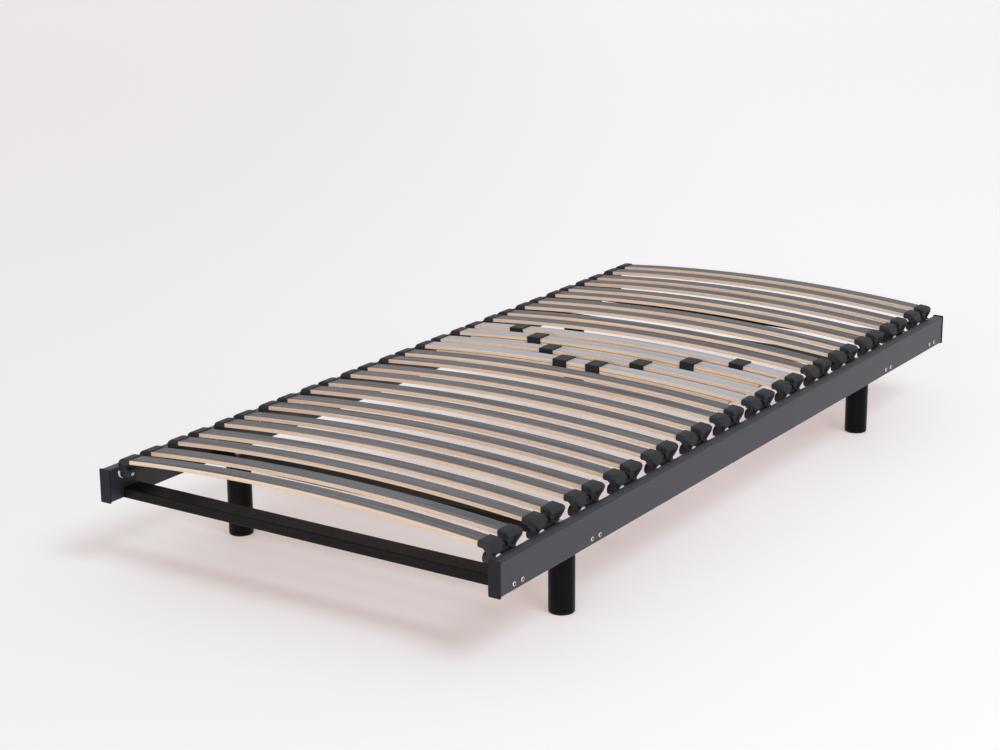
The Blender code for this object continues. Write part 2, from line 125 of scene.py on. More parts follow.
class Bench:
    """The node tree of a material or of the room, with the shader that feeds its output."""

    def __init__(self, owner: Union[bpy.types.Material, bpy.types.World]) -> None:
        """Clear the owner's tree and start it afresh.

        Args:
            owner: material or world.
        """
        owner.use_nodes = True
        self.tree = owner.node_tree
        self.tree.nodes.clear()
        solid = isinstance(owner, bpy.types.Material)
        self.shader = self.node("ShaderNodeBsdfPrincipled" if solid else "ShaderNodeBackground")
        output = self.node("ShaderNodeOutputMaterial" if solid else "ShaderNodeOutputWorld")
        self.tree.links.new(self.shader.outputs[0], output.inputs["Surface"])

    def node(
        self,
        kind: str,
        settings: Optional[dict[str, Any]] = None,
        inputs: Optional[dict[Union[str, int], Any]] = None,
    ) -> bpy.types.Node:
        """Add a node.

        Args:
            kind: node type.
            settings: properties, set first.
            inputs: values or wires by socket name or number.

        Returns:
            The node.
        """
        made = self.tree.nodes.new(kind)
        for name, value in (settings or {}).items():
            setattr(made, name, value)
        for key, value in (inputs or {}).items():
            self.feed(made.inputs[key], value)
        return made

    def feed(self, socket: bpy.types.NodeSocket, value: Any) -> None:
        """Link a wire to a socket, or set the socket's own value.

        Args:
            socket: input socket.
            value: wire, number, colour or vector.
        """
        if isinstance(value, Wire):
            self.tree.links.new(value.socket, socket)
        elif socket.type == "RGBA":
            socket.default_value = (*value, 1.0)
        else:
            socket.default_value = value

    def dress(self, **sockets: Any) -> None:
        """Feed the shader; a socket's name is written with underscores for spaces."""
        for name, value in sockets.items():
            self.feed(self.shader.inputs[name.replace("_", " ")], value)

    def maths(self, operation: str, *values: Value, clamp: bool = False) -> Wire:
        """Work on numbers.

        Args:
            operation: Math node operation.
            values: operands.
            clamp: keep the result from 0 to 1.

        Returns:
            The result.
        """
        made = self.node("ShaderNodeMath", {"operation": operation, "use_clamp": clamp},
                         dict(enumerate(values)))
        return Wire(self, made.outputs[0])

    def mix(self, factor: Value, low: Any, high: Any, mode: str = "MIX") -> Wire:
        """Mix two colours.

        Args:
            factor: share of the second colour.
            low: first colour.
            high: second colour.
            mode: blend mode.

        Returns:
            The mixed colour.
        """
        made = self.node("ShaderNodeMix", {"data_type": "RGBA", "blend_type": mode},
                         {0: factor, 6: low, 7: high})
        return Wire(self, made.outputs[2])

    def band(self, value: Value, low: float, high: float) -> Wire:
        """A smooth step.

        Args:
            value: what is measured.
            low: where the step starts.
            high: where it ends.

        Returns:
            0 below the step and 1 above it.
        """
        made = self.node("ShaderNodeMapRange", {"interpolation_type": "SMOOTHSTEP"},
                         {"Value": value, "From Min": low, "From Max": high})
        return Wire(self, made.outputs["Result"])

    def place(self, scale: Sequence[float] = (1, 1, 1), shift: Value = 0.0) -> Wire:
        """The piece's own coordinates in metres.

        Args:
            scale: stretch along each axis.
            shift: added to all three, such as a piece's own random number.

        Returns:
            The stretched vector.
        """
        source = self.node("ShaderNodeTexCoord")
        return self._stretched(Wire(self, source.outputs["Object"]), scale, shift)

    def grain(self, scale: Sequence[float] = (1, 1, 1)) -> Wire:
        """The board coordinates along, across and depth, stretched.

        Args:
            scale: stretch along each.

        Returns:
            The stretched vector.
        """
        source = self.node("ShaderNodeAttribute", {"attribute_name": GRAIN})
        return self._stretched(Wire(self, source.outputs["Vector"]), scale, 0.0)

    def _stretched(self, vector: Wire, scale: Sequence[float], shift: Value) -> Wire:
        """Scale a vector and then shift it.

        Args:
            vector: what to scale.
            scale: factor along each axis.
            shift: added after scaling.

        Returns:
            The new vector.
        """
        scaled = self.node("ShaderNodeVectorMath", {"operation": "MULTIPLY"},
                           {0: vector, 1: tuple(scale)})
        result = Wire(self, scaled.outputs[0])
        if not isinstance(shift, Wire):
            return result
        moved = self.node("ShaderNodeVectorMath", {"operation": "ADD"}, {0: result, 1: shift})
        return Wire(self, moved.outputs[0])

    def axis_of(self, vector: Wire, axis: Axis) -> Wire:
        """One coordinate of a vector."""
        return Wire(self, self.node("ShaderNodeSeparateXYZ", None, {0: vector}).outputs[axis.value])

    def own_number(self) -> Wire:
        """A random number from 0 to 1 that differs from piece to piece."""
        return Wire(self, self.node("ShaderNodeObjectInfo").outputs["Random"])

    def noise(self, vector: Wire, scale: float, detail: float = 2.0, roughness: float = 0.5,
              distortion: float = 0.0) -> Wire:
        """Cloudy noise.

        Args:
            vector: coordinates.
            scale: cells to the unit.
            detail: octaves.
            roughness: weight of the finer octaves.
            distortion: how far the cells are pulled about.

        Returns:
            Values around one half.
        """
        made = self.node("ShaderNodeTexNoise", None, {
            "Vector": vector, "Scale": scale, "Detail": detail, "Roughness": roughness,
            "Distortion": distortion})
        return Wire(self, made.outputs[0])

    def bump(self, height: Value, depth: float, strength: float = 1.0) -> Wire:
        """Surface relief.

        Args:
            height: height from 0 to 1.
            depth: metres between the lowest and the highest.
            strength: share of the relief that shows.

        Returns:
            The normal.
        """
        made = self.node("ShaderNodeBump", None,
                         {"Strength": strength, "Distance": depth, "Height": height})
        return Wire(self, made.outputs["Normal"])


# ---- finishes -----------------------------------------------------------------------------


@dataclass(frozen=True)
class Finish(ABC):
    """A finish that becomes one shared material."""

    name: str
    colour: Colour
    roughness: float

    def material(self) -> bpy.types.Material:
        """The material of this finish, made the first time it is asked for.

        Returns:
            The material.
        """
        found = bpy.data.materials.get(self.name)
        if found is not None:
            return found
        made = bpy.data.materials.new(self.name)
        self.paint(Bench(made))
        return made

    @abstractmethod
    def paint(self, bench: Bench) -> None:
        """Lay the finish out.

        Args:
            bench: node tree to fill.
        """

    def shade(self, factor: float) -> Colour:
        """The colour times a factor."""
        red, green, blue = self.colour
        return red * factor, green * factor, blue * factor


@dataclass(frozen=True)
class PowderCoat(Finish):
    """Baked powder paint: fine orange peel over faint clouds of tone."""

    shine: float = 0.25
    peel_scale: float = 1500.0
    peel_depth: float = 0.00003

    def paint(self, bench: Bench) -> None:
        """Lay the finish out.

        Args:
            bench: node tree to fill.
        """
        own = bench.own_number() * 3.0
        place = bench.place(shift=own)
        peel = bench.noise(place, self.peel_scale, 2.0)
        cloud = bench.noise(place, 9.0, 4.0, 0.6)
        speck = bench.band(bench.noise(place, 900.0, 1.0), 0.66, 0.74)
        tone = bench.mix(cloud, self.shade(0.90), self.shade(1.10))
        bench.dress(
            Base_Color=bench.mix(speck * 0.35, tone, self.shade(1.9)),
            Roughness=self.roughness + (peel - 0.5) * 0.10 + (cloud - 0.5) * 0.08,
            Normal=bench.bump(peel, self.peel_depth, 0.6),
            Specular_IOR_Level=self.shine,
        )


@dataclass(frozen=True)
class GlossTube(Finish):
    """Gloss paint over drawn tube: soft lengthwise drawing marks under a clear gloss."""

    shine: float = 0.10

    def paint(self, bench: Bench) -> None:
        """Lay the finish out.

        Args:
            bench: node tree to fill.
        """
        own = bench.own_number() * 3.0
        drawn = bench.noise(bench.place((1, 1, 0.02), own), 420.0, 3.0, 0.6)
        peel = bench.noise(bench.place(shift=own), 700.0, 2.0)
        bench.dress(
            Base_Color=bench.mix(drawn, self.shade(0.8), self.shade(1.35)),
            Roughness=self.roughness + (drawn - 0.5) * 0.10,
            Normal=bench.bump(drawn * 0.3 + peel * 0.7, 0.00002, 0.4),
            Specular_IOR_Level=self.shine,
        )


@dataclass(frozen=True)
class Moulding(Finish):
    """Moulded rubber or plastic: fine spark-eroded texture and slightly uneven tone."""

    texture_scale: float = 1800.0
    texture_depth: float = 0.00006
    lift: float = 1.6
    shine: float = 0.25

    def paint(self, bench: Bench) -> None:
        """Lay the finish out.

        Args:
            bench: node tree to fill.
        """
        own = bench.own_number() * 5.0
        place = bench.place(shift=own)
        fine = bench.noise(place, self.texture_scale, 3.0, 0.65)
        patch = bench.noise(place, 55.0, 3.0, 0.55)
        dust = bench.band(bench.noise(place, 240.0, 4.0, 0.7), 0.56, 0.78)
        tone = bench.mix(patch, self.shade(0.82), self.shade(1.22))
        bench.dress(
            Base_Color=bench.mix(dust * 0.35, tone, self.shade(self.lift)),
            Roughness=self.roughness + (fine - 0.5) * 0.16 + (patch - 0.5) * 0.10,
            Normal=bench.bump(fine, self.texture_depth, 0.7),
            Specular_IOR_Level=self.shine,
        )


@dataclass(frozen=True)
class Nylon(Finish):
    """Natural nylon: milky, slightly see-through and waxy."""

    def paint(self, bench: Bench) -> None:
        """Lay the finish out.

        Args:
            bench: node tree to fill.
        """
        place = bench.place(shift=bench.own_number())
        cloud = bench.noise(place, 160.0, 3.0)
        fine = bench.noise(place, 1600.0, 2.0)
        bench.dress(
            Base_Color=bench.mix(cloud, self.shade(0.93), self.shade(1.04)),
            Roughness=self.roughness + (fine - 0.5) * 0.12,
            Normal=bench.bump(fine, 0.00002, 0.4),
            Subsurface_Weight=0.25,
            Subsurface_Scale=0.002,
            Subsurface_Radius=(1.0, 0.9, 0.8),
        )


@dataclass(frozen=True)
class Zinc(Finish):
    """Bright zinc plate with turning marks round the piece's own X axis."""

    ring_rate: float = 26000.0

    def paint(self, bench: Bench) -> None:
        """Lay the finish out.

        Args:
            bench: node tree to fill.
        """
        place = bench.place()
        across = bench.axis_of(place, Axis.Y)
        up = bench.axis_of(place, Axis.Z)
        radius = bench.maths("SQRT", across * across + up * up)
        rings = bench.maths("SINE", radius * self.ring_rate) * 0.5 + 0.5
        stain = bench.noise(bench.place(shift=bench.own_number()), 520.0, 3.0, 0.6)
        bench.dress(
            Base_Color=bench.mix(stain, self.shade(0.78), self.shade(1.08)),
            Metallic=1.0,
            Roughness=self.roughness + (stain - 0.5) * 0.20,
            Normal=bench.bump(rings * 0.5 + stain * 0.5, 0.00002, 0.5),
        )


@dataclass(frozen=True)
class Foil(Finish):
    """Printed foil on a slat's faces: long fibres and pores along the board."""

    contrast: float = 0.22
    shine: float = 0.3
    blush: Colour = (0.2, 0.2, 0.2)

    def paint(self, bench: Bench) -> None:
        """Lay the finish out.

        Args:
            bench: node tree to fill.
        """
        fibre = bench.noise(bench.grain((7.0, 900.0, 0.0)), 1.0, 3.0, 0.6)
        streak = bench.noise(bench.grain((1.6, 150.0, 0.0)), 1.0, 3.0, 0.55, 0.3)
        cloud = bench.noise(bench.grain((2.2, 14.0, 0.0)), 1.0, 2.0)
        pore = bench.band(bench.noise(bench.grain((60.0, 1900.0, 0.0)), 1.0, 1.0), 0.62, 0.72)
        low, high = self.shade(1 - self.contrast), self.shade(1 + self.contrast)
        tone = bench.mix(bench.band(streak * 0.75 + fibre * 0.25, 0.36, 0.64), low, high)
        tinted = bench.mix(bench.band(cloud, 0.42, 0.72) * 0.45, tone, self.blush)
        bench.dress(
            Base_Color=bench.mix(pore * 0.4, tinted, self.shade(0.62)),
            Roughness=self.roughness + (fibre - 0.5) * 0.16 + pore * 0.08,
            Normal=bench.bump(fibre * 0.6 - pore * 0.4, 0.00008, 0.5),
            Specular_IOR_Level=self.shine,
        )


@dataclass(frozen=True)
class Plywood(Finish):
    """Sanded edge of a laminated board: veneers, glue lines, end-grain flecks and heart stain."""

    veneer: float = 0.0013
    glue: Colour = (0.36, 0.22, 0.12)
    heart: Colour = (0.66, 0.37, 0.24)
    light: Colour = (0.90, 0.75, 0.59)

    def paint(self, bench: Bench) -> None:
        """Lay the finish out.

        Args:
            bench: node tree to fill.
        """
        along = bench.grain((5.0, 0.0, 0.0))
        wander = bench.noise(along, 1.0, 2.0)
        depth = bench.axis_of(bench.grain(), Axis.Z) / self.veneer + (wander - 0.5) * 0.25
        layer = bench.maths("FLOOR", depth)
        within = depth - layer
        line = 1 - bench.band(within, 0.0, 0.16)
        seed = bench.axis_of(bench.grain((0.9, 0.0, 0.0)), Axis.X)
        tag = bench.node("ShaderNodeCombineXYZ", None, {0: layer * 7.3, 1: seed})
        board = bench.noise(Wire(bench, tag.outputs[0]), 1.0, 1.0)
        fibre = bench.noise(bench.grain((34.0, 120.0, 2600.0)), 1.0, 3.0, 0.6)
        stain = bench.band(bench.noise(bench.grain((2.6, 0.0, 90.0)), 1.0, 3.0, 0.5), 0.56, 0.74)
        fleck = bench.band(bench.noise(bench.grain((90.0, 40.0, 3200.0)), 1.0, 2.0), 0.64, 0.74)
        base = bench.mix(bench.band(board, 0.38, 0.62), self.colour, self.light)
        base = bench.mix(fibre * 0.45, base, self.shade(0.72))
        base = bench.mix(stain * 0.5, base, self.heart)
        base = bench.mix(line * 0.45, base, self.glue)
        bench.dress(
            Base_Color=bench.mix(fleck * 0.5, base, self.glue),
            Roughness=self.roughness + (fibre - 0.5) * 0.20,
            Normal=bench.bump(fibre * 0.6 - line * 0.6, 0.00010, 0.6),
        )


@dataclass(frozen=True)
class StudioPaper(Finish):
    """Seamless pale studio floor with the faintest tooth and a painted glow in its emission.

    The painted glow lightens the shade under and around the bed; it is warm at the near left and grows
    paler towards the far right.
    """

    near_glow: Colour = (0.292, 0.160, 0.108)
    deep_glow: Colour = (0.107, 0.140, 0.151)
    side_glow: Colour = (0.078, 0.083, 0.104)
    heading: float = 33.6
    near_edge: float = 1.3
    reach: float = 9.8
    side_span: tuple[float, float] = (-1.5, 1.1)

    def paint(self, bench: Bench) -> None:
        """Lay the finish out.

        Args:
            bench: node tree to fill.
        """
        tooth = bench.noise(bench.place(), 300.0, 2.0)
        east, north = (bench.axis_of(bench.place(), axis) for axis in (Axis.X, Axis.Y))
        ahead, across = math.cos(math.radians(self.heading)), math.sin(math.radians(self.heading))
        depth = bench.maths("DIVIDE", north * ahead - east * across + self.near_edge, self.reach,
                            clamp=True)
        aside = bench.band(east * ahead + north * across, *self.side_span)
        glow = bench.mix(depth, self.near_glow, self.deep_glow, "ADD")
        bench.dress(
            Base_Color=bench.mix(tooth, self.shade(0.99), self.shade(1.01)),
            Roughness=self.roughness,
            Specular_IOR_Level=0.2,
            Normal=bench.bump(tooth, 0.0001, 0.05),
            # painted glow: the floor's own emission lightens the shade around the bed; no lamp lies
            # beneath it
            Emission_Color=bench.mix(aside, glow, self.side_glow, "ADD"),
            Emission_Strength=1.0,
        )


RAIL_COAT = PowderCoat("satin_anthracite", (0.0185, 0.0200, 0.0300), 0.42, 0.55)
BAR_COAT = PowderCoat("satin_black", (0.0070, 0.0065, 0.0062), 0.42, 0.12)
LEG_COAT = GlossTube("gloss_black", (0.0030, 0.0028, 0.0031), 0.26)
CAP_PLASTIC = Moulding("cap_plastic", (0.011, 0.011, 0.016), 0.46, 2600.0, 0.00004, 1.5, 0.2)
GLIDE_PLASTIC = Moulding("glide_plastic", (0.004, 0.004, 0.004), 0.42, 2200.0, 0.00004, 1.4, 0.15)
HOLDER_RUBBER = Moulding("holder_rubber", (0.0210, 0.0200, 0.0255), 0.54, 1500.0, 0.00008, 1.7, 0.32)
SLIDER_PLASTIC = Moulding("slider_plastic", (0.010, 0.010, 0.011), 0.48, 2200.0, 0.00005, 1.5)
# painted shade: a near-black finish laid over the screw socket's walls and floor to darken the recess
# where shade falls
SOCKET_PAINTED_SHADE = Moulding("socket_shade", (0.012, 0.012, 0.013), 0.60, 2600.0, 0.00004, 1.5, 0.1)
BUSH_NYLON = Nylon("bush_nylon", (0.80, 0.81, 0.80), 0.36)
PIN_ZINC = Zinc("bright_zinc", (0.80, 0.80, 0.81), 0.30)
GREY_FOIL = Foil("grey_foil", (0.133, 0.125, 0.137), 0.46, 0.52, 0.3, (0.170, 0.158, 0.154))
PALE_FOIL = Foil("pale_foil", (0.535, 0.515, 0.550), 0.48, 0.18, 0.3, (0.64, 0.55, 0.57))
EDGE_WOOD = Plywood("laminated_edge", (0.81, 0.565, 0.41), 0.58)
PAPER = StudioPaper("studio_paper", (0.74, 0.86, 0.92), 0.7)


# ---- mesh building ------------------------------------------------------------------------


Point = Sequence[float]


def round_rectangle(width: float, height: float, radius: float, steps: int = 4) -> list[Vector]:
    """Outline of a rectangle about the origin with round corners.

    Args:
        width: size along the first axis.
        height: size along the second.
        radius: corner radius.
        steps: pieces in each corner.

    Returns:
        Points, counter-clockwise.
    """
    points = []
    for turn, (sx, sy) in enumerate(((1, 1), (-1, 1), (-1, -1), (1, -1))):
        centre = Vector((sx * (width / 2 - radius), sy * (height / 2 - radius)))
        for step in range(steps + 1):
            angle = math.radians(90 * (turn + step / steps))
            points.append(centre + radius * Vector((math.cos(angle), math.sin(angle))))
    return points


class Shape:
    """A mesh under construction."""

    def __init__(self) -> None:
        """Start empty."""
        self.bm = bmesh.new()

    def ring(self, outline: Iterable[Point], axis: Axis, along: float) -> list[bmesh.types.BMVert]:
        """Add the points of an outline standing across an axis.

        Args:
            outline: points in the two other axes.
            axis: axis the outline stands across.
            along: place on that axis.

        Returns:
            The new vertices.
        """
        verts = []
        for point in outline:
            coordinates = list(point)
            coordinates.insert(axis.value, along)
            verts.append(self.bm.verts.new(coordinates))
        return verts

    def skin(self, low: Sequence[Any], high: Sequence[Any], material: int = 0) -> None:
        """Join two rings of the same count with a band of faces.

        Args:
            low: first ring.
            high: second ring.
            material: material slot of the faces.
        """
        for index, corner in enumerate(low):
            after = (index + 1) % len(low)
            face = self.bm.faces.new((corner, low[after], high[after], high[index]))
            face.material_index = material

    def lid(self, ring: Sequence[Any], material: int = 0) -> None:
        """Close a ring with one face."""
        self.bm.faces.new(ring).material_index = material

    def loft(self, rings: Sequence[Sequence[Any]]) -> None:
        """Skin a row of rings and close both ends.

        Args:
            rings: rings of the same count.
        """
        for low, high in zip(rings, rings[1:]):
            self.skin(low, high)
        self.lid(rings[0])
        self.lid(rings[-1])

    def prism(self, outline: Sequence[Point], axis: Axis, start: float, end: float) -> None:
        """Add an outline pushed along an axis.

        Args:
            outline: points in the two other axes.
            axis: direction.
            start: first end.
            end: other end.
        """
        self.loft([self.ring(outline, axis, start), self.ring(outline, axis, end)])

    def block(self, low: Point, high: Point, edge: float, steps: int = 3) -> None:
        """Add a box with rounded edges.

        Args:
            low: lowest corner.
            high: highest corner.
            edge: radius of the edges.
            steps: pieces in each rounding.
        """
        made = bmesh.ops.create_cube(self.bm, size=1.0)["verts"]
        size = Vector(high) - Vector(low)
        middle = (Vector(high) + Vector(low)) / 2
        for vert in made:
            vert.co = Vector(a * b for a, b in zip(vert.co, size)) + middle
        edges = {e for vert in made for e in vert.link_edges}
        bmesh.ops.bevel(self.bm, geom=list(edges), offset=edge, segments=steps,
                        affect="EDGES", profile=0.5)

    def pipe(self, outside: Sequence[Point], inside: Sequence[Point], axis: Axis,
             half: float) -> None:
        """Add a hollow tube, open at both ends, about the origin.

        Args:
            outside: outer outline in the two other axes.
            inside: inner outline with as many points.
            axis: axis of the tube.
            half: half the tube's length.
        """
        outer = [self.ring(outside, axis, end) for end in (-half, half)]
        inner = [self.ring(inside, axis, end) for end in (-half, half)]
        for low, high in (outer, inner, (outer[0], inner[0]), (outer[1], inner[1])):
            self.skin(low, high)

    def turned(self, profile: Sequence[tuple[float, float]], sides: int, axis: Axis) -> None:
        """Turn a profile about an axis through the origin.

        Args:
            profile: (radius, place on the axis) points; the first and last lie on the axis.
            sides: number of sides.
            axis: axis of the turning.
        """
        angles = [2 * math.pi * side / sides for side in range(sides)]
        rings = []
        for radius, along in profile:
            if radius == 0:
                rings.append(self.ring([(0, 0)], axis, along) * sides)
            else:
                rings.append(self.ring(
                    [(radius * math.cos(a), radius * math.sin(a)) for a in angles], axis, along))
        for low, high in zip(rings, rings[1:]):
            for side in range(sides):
                after = (side + 1) % sides
                self.bm.faces.new(dict.fromkeys((low[side], low[after], high[after], high[side])))

    def mesh(self, name: str, *finishes: Finish) -> bpy.types.Mesh:
        """Finish the mesh.

        Args:
            name: mesh name.
            finishes: finishes in slot order.

        Returns:
            The mesh.
        """
        bmesh.ops.recalc_face_normals(self.bm, faces=self.bm.faces)
        made = bpy.data.meshes.new(name)
        self.bm.to_mesh(made)
        self.bm.free()
        for finish in finishes:
            made.materials.append(finish.material())
        made.shade_smooth()
        made.set_sharp_from_angle(angle=math.radians(SHARP_ANGLE))
        return made


def mirrored(mesh: bpy.types.Mesh) -> bpy.types.Mesh:
    """A copy of a mesh reflected in X.

    Args:
        mesh: what to reflect.

    Returns:
        The reflected mesh, its faces pointing out.
    """
    bm = bmesh.new()
    bm.from_mesh(mesh)
    bm.transform(Matrix.Scale(-1, 4, (1, 0, 0)))
    bmesh.ops.reverse_faces(bm, faces=bm.faces)
    made = mesh.copy()
    made.name = mesh.name + "_mirrored"
    bm.to_mesh(made)
    bm.free()
    return made


def add_piece(
    name: str,
    mesh: bpy.types.Mesh,
    body: str,
    slot: str,
    node: str,
    place: Union[Point, Matrix] = (0, 0, 0),
    flat_sides: bool = False,
) -> None:
    """Put a mesh into the scene as one piece of the bed.

    Args:
        name: piece name.
        mesh: its mesh.
        body: moving body it rides on.
        slot: material slot of the record; not used.
        node: solid it stands for.
        place: where its origin goes, or its whole placing.
        flat_sides: keep large faces flat next to narrow roundings.
    """
    piece = bpy.data.objects.new(name, mesh)
    bpy.context.scene.collection.objects.link(piece)
    piece.matrix_world = place if isinstance(place, Matrix) else Matrix.Translation(place)
    if flat_sides:
        even = piece.modifiers.new("even_normals", "WEIGHTED_NORMAL")
        even.keep_sharp = True
    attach(piece, body)
    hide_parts(node)
    LOG.info("%s rides on %s", name, body)


# ---- the frame ----------------------------------------------------------------------------


@dataclass
class SideRail:
    """A side rail: rectangular tube with a push-in cap at each end."""

    side: Side
    wall: float = 0.0015
    corner: float = 0.0030
    cap_plate: float = 0.0030
    cap_lip: float = 0.0015
    cap_edge: float = 0.0007
    plug_depth: float = 0.012
    plug_gap: float = 0.0002
    mark_size: tuple[float, float, float] = (0.0012, 0.0004, 0.0085)

    def __post_init__(self) -> None:
        """Read the rail's box."""
        self.node = f"side_rail_{self.side.name.lower()}"
        self.low, self.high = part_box(self.node)
        self.middle = (self.low + self.high) / 2
        self.width = self.high.x - self.low.x - 2 * self.cap_lip
        self.height = self.high.z - self.low.z - 2 * self.cap_lip
        self.half = (self.high.y - self.low.y) / 2

    def tube(self) -> bpy.types.Mesh:
        """The hollow tube, about its own middle.

        Returns:
            The mesh.
        """
        shape = Shape()
        outside = round_rectangle(self.width, self.height, self.corner, 5)
        inside = round_rectangle(self.width - 2 * self.wall, self.height - 2 * self.wall,
                                 self.corner - self.wall, 5)
        shape.pipe(outside, inside, Axis.Y, self.half - self.cap_plate)
        return shape.mesh(self.node + "_tube", RAIL_COAT)

    def cap(self) -> bpy.types.Mesh:
        """An end cap that faces +Y, with its plate's outer face at y = 0.

        Returns:
            The mesh.
        """
        shape = Shape()
        width = self.width + 2 * self.cap_lip
        height = self.height + 2 * self.cap_lip
        shrink = 2 * self.cap_edge
        rings = []
        for y, loss in ((-self.cap_plate, shrink * 0.5), (-self.cap_plate + self.cap_edge * 0.5, 0.0),
                        (-self.cap_edge, 0.0), (-self.cap_edge * 0.3, shrink * 0.3), (0.0, shrink)):
            rings.append(shape.ring(
                round_rectangle(width - loss, height - loss, self.corner * 0.8, 4), Axis.Y, y))
        for low, high in zip(rings, rings[1:]):
            shape.skin(low, high)
        shape.lid(rings[-1])
        inset = self.wall + self.plug_gap
        section = round_rectangle(self.width - 2 * inset, self.height - 2 * inset,
                                  self.corner - inset, 4)
        plug = [shape.ring(section, Axis.Y, y)
                for y in (-self.cap_plate, -self.cap_plate - self.plug_depth)]
        shape.skin(rings[0], plug[0])
        shape.skin(*plug)
        shape.lid(plug[1])
        wide, deep, tall = self.mark_size
        shape.block((-wide / 2, -deep, -tall / 2), (wide / 2, deep * 0.6, tall / 2), deep * 0.5, 2)
        return shape.mesh("rail_cap", CAP_PLASTIC)

    def build(self) -> None:
        """Make the rail's pieces."""
        label = self.side.name.lower()
        add_piece(f"rail_tube_{label}", self.tube(), "frame", "rail_paint", self.node,
                  self.middle, flat_sides=True)
        cap = self.cap()
        for end, sign, turn in (("near", -1, math.pi), ("far", 1, 0.0)):
            stand = Matrix.Translation((self.middle.x, sign * self.half, self.middle.z))
            add_piece(f"rail_cap_{label}_{end}", cap, "frame", "rail_paint", self.node,
                      stand @ Matrix.Rotation(turn, 4, "Z"), flat_sides=True)


@dataclass
class CrossBar:
    """A cross bar between the rails, with the two screws at each end."""

    number: int
    wall: float = 0.0015
    corner: float = 0.0022
    head_radius: float = 0.0045
    head_height: float = 0.0022
    head_edge: float = 0.0009
    socket_radius: float = 0.0028
    socket_depth: float = 0.0018
    shank_radius: float = 0.003
    shank_length: float = 0.030
    head_sides: int = 36
    end_gap: float = 0.0003
    head_gap: float = 0.0001
    screw_spread: float = 0.026
    screw_rise: float = 0.013
    screw_shifts: tuple[float, ...] = (-0.005, -0.003, 0.0, 0.0)

    def __post_init__(self) -> None:
        """Read the bar's box and the rail's inner face."""
        self.node = f"cross_bar_{self.number}"
        self.low, self.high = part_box(self.node)
        self.middle = (self.low + self.high) / 2
        rail_low, rail_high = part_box("side_rail_right")
        self.inner_face = rail_low.x + SideRail.cap_lip
        self.outer_face = rail_high.x - SideRail.cap_lip

    def tube(self) -> bpy.types.Mesh:
        """The bar's tube, about its own middle.

        Returns:
            The mesh.
        """
        shape = Shape()
        depth = self.high.y - self.low.y
        height = self.high.z - self.low.z
        outside = round_rectangle(depth, height, self.corner, 4)
        inside = round_rectangle(depth - 2 * self.wall, height - 2 * self.wall,
                                 self.corner - self.wall, 4)
        shape.pipe(outside, inside, Axis.X, self.inner_face - self.end_gap)
        return shape.mesh(self.node + "_tube", BAR_COAT)

    def _screw_ring(self, shape: Shape, radius: float, x: float, corners: int = 0) -> list[Any]:
        """Add a ring of the screw about the X axis.

        Args:
            shape: mesh under construction.
            radius: radius of the ring, to its corners if it has any.
            x: place on the axis.
            corners: number of corners; none for a round ring.

        Returns:
            The new vertices.
        """
        points = []
        for side in range(self.head_sides):
            angle = 2 * math.pi * side / self.head_sides
            reach = radius
            if corners:
                half = math.pi / corners
                reach *= math.cos(half) / math.cos(angle % (2 * half) - half)
            points.append((reach * math.cos(angle), reach * math.sin(angle)))
        return shape.ring(points, Axis.X, x)

    def screw(self) -> bpy.types.Mesh:
        """A pan-head screw with a six-sided socket, its head's seat at x = 0, facing +X.

        Returns:
            The mesh.
        """
        shape = Shape()
        top, edge = self.head_height, self.head_edge
        rings = [self._screw_ring(shape, radius, x) for radius, x in (
            (self.shank_radius, -self.shank_length), (self.shank_radius, 0.0),
            (self.head_radius - 0.0002, 0.0), (self.head_radius, 0.0003),
            (self.head_radius, top - edge), (self.head_radius - edge * 0.35, top - edge * 0.35),
            (self.head_radius - edge, top))]
        rings.append(self._screw_ring(shape, self.socket_radius, top, 6))
        for low, high in zip(rings, rings[1:]):
            shape.skin(low, high)
        shape.lid(rings[0])
        floor = self._screw_ring(shape, self.socket_radius - 0.0001, top - self.socket_depth, 6)
        # the socket's walls and floor take the painted shade finish in slot 1
        shape.skin(rings[-1], floor, 1)
        shape.lid(floor, 1)
        return shape.mesh("bar_screw", PIN_ZINC, SOCKET_PAINTED_SHADE)

    def build(self) -> None:
        """Make the bar's pieces."""
        add_piece(f"bar_tube_{self.number}", self.tube(), "frame", "bar_paint", self.node,
                  self.middle, flat_sides=True)
        screw = self.screw()
        z = self.low.z + self.screw_rise
        centre = self.middle.y + self.screw_shifts[self.number - 1]
        for side in Side:
            mesh = screw if side is Side.RIGHT else mirrored(screw)
            for place, sign in (("near", -1), ("far", 1)):
                y = centre + sign * self.screw_spread / 2
                add_piece(f"bar_screw_{self.number}_{side.name.lower()}_{place}", mesh, "frame",
                          "bar_paint", self.node, (side.value * (self.outer_face + self.head_gap), y, z))


